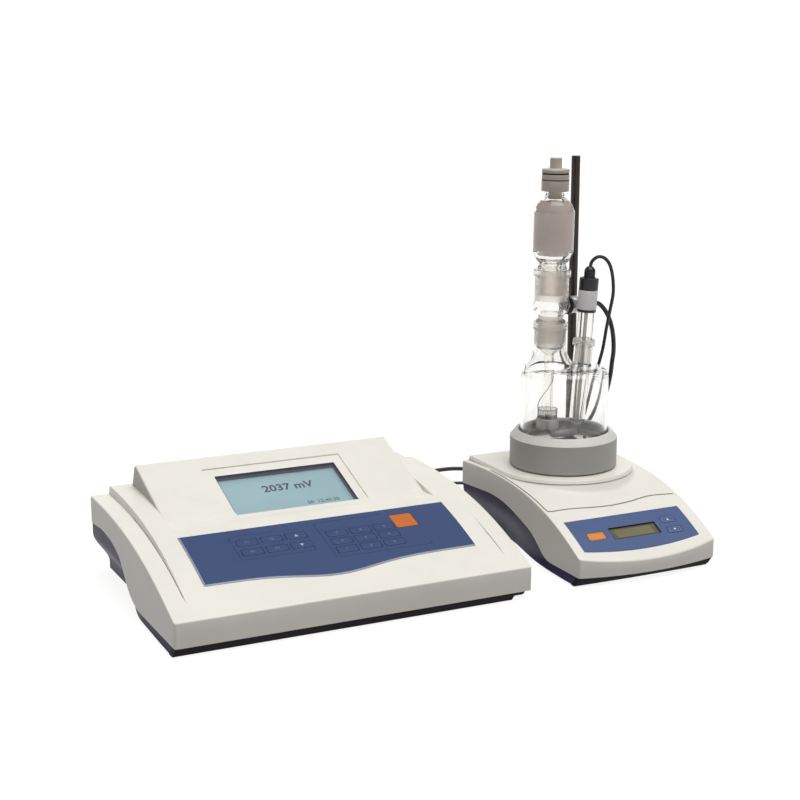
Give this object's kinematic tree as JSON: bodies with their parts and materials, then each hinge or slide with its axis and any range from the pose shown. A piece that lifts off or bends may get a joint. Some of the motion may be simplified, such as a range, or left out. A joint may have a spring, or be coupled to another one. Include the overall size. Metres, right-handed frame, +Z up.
{
  "type": "automatic titrator",
  "caption": "Coulometric titrator: keypad console with a display, magnetic stirrer holding a glass cell with generator, drying tube and detector electrode, joined by two leads.",
  "frame": {"origin": "middle of the footprint of the console and the stirrer, on the bench", "axes": "+X along the fronts from the console to the stirrer, +Y to the rear, +Z up"},
  "size_m": [0.4676, 0.3712, 0.328],
  "materials": {
    "ivory_plastic": "fine moulded texture",
    "navy_plastic": "satin moulded",
    "rear_panel": "matt powder coat",
    "window_clear": "clear polished",
    "lcd_cyan": "back-lit liquid crystal",
    "overlay_blue": "printed polyester, satin",
    "key_blue": "embossed polyester, satin",
    "key_orange": "satin",
    "trim_silver": "satin",
    "board_green": "solder mask",
    "transformer": "varnished laminations",
    "black_plastic": "moulded",
    "socket_metal": "nickel plate",
    "foot_rubber": "matt",
    "screw_steel": "zinc plate",
    "overlay_slate": "printed polyester, satin",
    "stirrer_lcd": "reflective liquid crystal, olive",
    "key_slate": "embossed polyester, satin",
    "motor_steel": "drawn steel can",
    "rotor": "moulded carrier with magnets",
    "collar_grey": "fine moulded texture",
    "rod_steel": "dark polished steel",
    "cell_glass": "borosilicate, ground at the joints",
    "bar_white": "fluoropolymer",
    "cathode_mesh": "woven platinum gauze, greyed",
    "pin_platinum": "bright wire",
    "connector_metal": "polished",
    "desiccant": "packed grains",
    "stopper_grey": "translucent moulded",
    "head_black": "moulded, with a bare grey sleeve",
    "lead_black": "flexible jacket"
  },
  "bodies": {
    "instrument": {"console_base": "navy_plastic", "console_cover": "ivory_plastic", "display_housing": "ivory_plastic", "display_window": "window_clear", "lcd_module": "lcd_cyan", "keypad_overlay": "overlay_blue", "keypad_trim": "trim_silver", "key_board": "board_green", "main_board": "board_green", "power_supply": "transformer", "rear_panel": "rear_panel", "power_inlet": "black_plastic", "detector_socket": "socket_metal", "generator_socket": "socket_metal", "rubber_feet": "foot_rubber", "case_screws": "screw_steel", "stirrer_base": "navy_plastic", "stirrer_cover": "ivory_plastic", "stirrer_overlay": "overlay_slate", "stirrer_lcd": "stirrer_lcd", "stirrer_board": "board_green", "stir_motor": "motor_steel", "cell_collar": "collar_grey", "support_rod": "rod_steel", "cell_vessel": "cell_glass", "generator_body": "cell_glass", "generator_cathode": "cathode_mesh", "generator_connector": "connector_metal", "detector_tube": "cell_glass", "detector_pins": "pin_platinum", "detector_head": "head_black", "generator_cable": "lead_black", "generator_plug": "lead_black", "detector_cable": "lead_black", "detector_plug": "socket_metal"},
    "key_left_1": {"key_left_1": "key_blue"},
    "key_left_2": {"key_left_2": "key_blue"},
    "key_left_3": {"key_left_3": "key_blue"},
    "key_left_4": {"key_left_4": "key_blue"},
    "key_left_5": {"key_left_5": "key_blue"},
    "key_left_6": {"key_left_6": "key_blue"},
    "key_right_1": {"key_right_1": "key_blue"},
    "key_right_2": {"key_right_2": "key_blue"},
    "key_right_3": {"key_right_3": "key_blue"},
    "key_right_4": {"key_right_4": "key_blue"},
    "key_right_5": {"key_right_5": "key_blue"},
    "key_right_6": {"key_right_6": "key_blue"},
    "key_right_7": {"key_right_7": "key_blue"},
    "key_right_8": {"key_right_8": "key_blue"},
    "key_right_9": {"key_right_9": "key_blue"},
    "start_key_cap": {"start_key_cap": "key_orange"},
    "stirrer_start_key": {"stirrer_start_key": "key_orange"},
    "stirrer_up_key": {"stirrer_up_key": "key_slate"},
    "stirrer_down_key": {"stirrer_down_key": "key_slate"},
    "rocker": {"power_switch": "black_plastic"},
    "rotor": {"magnet_rotor": "rotor"},
    "stir_bar": {"stir_bar": "bar_white"},
    "drying_tube": {"drying_tube": "cell_glass", "desiccant": "desiccant"},
    "stopper": {"stopper": "stopper_grey"}
  },
  "joints": [
    {"name": "key_left_1_press", "type": "slide", "parent": "instrument", "child": "key_left_1", "axis": [0, 0.2879, -0.9577], "range_m": [0, 0.0008], "stiffness_N_per_m": 250},
    {"name": "key_left_2_press", "type": "slide", "parent": "instrument", "child": "key_left_2", "axis": [0, 0.2879, -0.9577], "range_m": [0, 0.0008], "stiffness_N_per_m": 250},
    {"name": "key_left_3_press", "type": "slide", "parent": "instrument", "child": "key_left_3", "axis": [0, 0.2879, -0.9577], "range_m": [0, 0.0008], "stiffness_N_per_m": 250},
    {"name": "key_left_4_press", "type": "slide", "parent": "instrument", "child": "key_left_4", "axis": [0, 0.3167, -0.9485], "range_m": [0, 0.0008], "stiffness_N_per_m": 250},
    {"name": "key_left_5_press", "type": "slide", "parent": "instrument", "child": "key_left_5", "axis": [0, 0.3167, -0.9485], "range_m": [0, 0.0008], "stiffness_N_per_m": 250},
    {"name": "key_left_6_press", "type": "slide", "parent": "instrument", "child": "key_left_6", "axis": [0, 0.3167, -0.9485], "range_m": [0, 0.0008], "stiffness_N_per_m": 250},
    {"name": "key_right_1_press", "type": "slide", "parent": "instrument", "child": "key_right_1", "axis": [0, 0.3001, -0.9539], "range_m": [0, 0.0008], "stiffness_N_per_m": 250},
    {"name": "key_right_2_press", "type": "slide", "parent": "instrument", "child": "key_right_2", "axis": [0, 0.3001, -0.9539], "range_m": [0, 0.0008], "stiffness_N_per_m": 250},
    {"name": "key_right_3_press", "type": "slide", "parent": "instrument", "child": "key_right_3", "axis": [0, 0.3001, -0.9539], "range_m": [0, 0.0008], "stiffness_N_per_m": 250},
    {"name": "key_right_4_press", "type": "slide", "parent": "instrument", "child": "key_right_4", "axis": [0, 0.3207, -0.9472], "range_m": [0, 0.0008], "stiffness_N_per_m": 250},
    {"name": "key_right_5_press", "type": "slide", "parent": "instrument", "child": "key_right_5", "axis": [0, 0.3207, -0.9472], "range_m": [0, 0.0008], "stiffness_N_per_m": 250},
    {"name": "key_right_6_press", "type": "slide", "parent": "instrument", "child": "key_right_6", "axis": [0, 0.3207, -0.9472], "range_m": [0, 0.0008], "stiffness_N_per_m": 250},
    {"name": "key_right_7_press", "type": "slide", "parent": "instrument", "child": "key_right_7", "axis": [0, 0.3399, -0.9404], "range_m": [0, 0.0008], "stiffness_N_per_m": 250},
    {"name": "key_right_8_press", "type": "slide", "parent": "instrument", "child": "key_right_8", "axis": [0, 0.3399, -0.9404], "range_m": [0, 0.0008], "stiffness_N_per_m": 250},
    {"name": "key_right_9_press", "type": "slide", "parent": "instrument", "child": "key_right_9", "axis": [0, 0.3399, -0.9404], "range_m": [0, 0.0008], "stiffness_N_per_m": 250},
    {"name": "start_key_press", "type": "slide", "parent": "instrument", "child": "start_key_cap", "axis": [0, 0.2879, -0.9577], "range_m": [0, 0.0008], "stiffness_N_per_m": 250},
    {"name": "stirrer_start_key_press", "type": "slide", "parent": "instrument", "child": "stirrer_start_key", "axis": [0, 0.4455, -0.8953], "range_m": [0, 0.0008], "stiffness_N_per_m": 250},
    {"name": "stirrer_up_key_press", "type": "slide", "parent": "instrument", "child": "stirrer_up_key", "axis": [0, 0.4455, -0.8953], "range_m": [0, 0.0008], "stiffness_N_per_m": 250},
    {"name": "stirrer_down_key_press", "type": "slide", "parent": "instrument", "child": "stirrer_down_key", "axis": [0, 0.4455, -0.8953], "range_m": [0, 0.0008], "stiffness_N_per_m": 250},
    {"name": "power_rocker", "type": "hinge", "parent": "instrument", "child": "rocker", "pos_m": [-0.13575, 0.10075, 0.022], "axis": [1, 0, 0], "range_deg": [-14, 0]},
    {"name": "rotor_spin", "type": "hinge", "parent": "instrument", "child": "rotor", "pos_m": [0.16825, 0.03265, 0.05], "axis": [0, 0, 1], "continuous": true},
    {"name": "stir_bar_spin", "type": "hinge", "parent": "instrument", "child": "stir_bar", "pos_m": [0.16825, 0.03265, 0.09], "axis": [0, 0, 1], "continuous": true},
    {"name": "drying_tube_lift", "type": "slide", "parent": "instrument", "child": "drying_tube", "axis": [0.0126, -0.0061, 0.9999], "range_m": [0, 0.03]},
    {"name": "stopper_lift", "type": "slide", "parent": "drying_tube", "child": "stopper", "axis": [0.0126, -0.0061, 0.9999], "range_m": [0, 0.02]}
  ],
  "couplings": [
    {"joint": "stir_bar_spin", "follows": "rotor_spin", "ratio": 1}
  ]
}
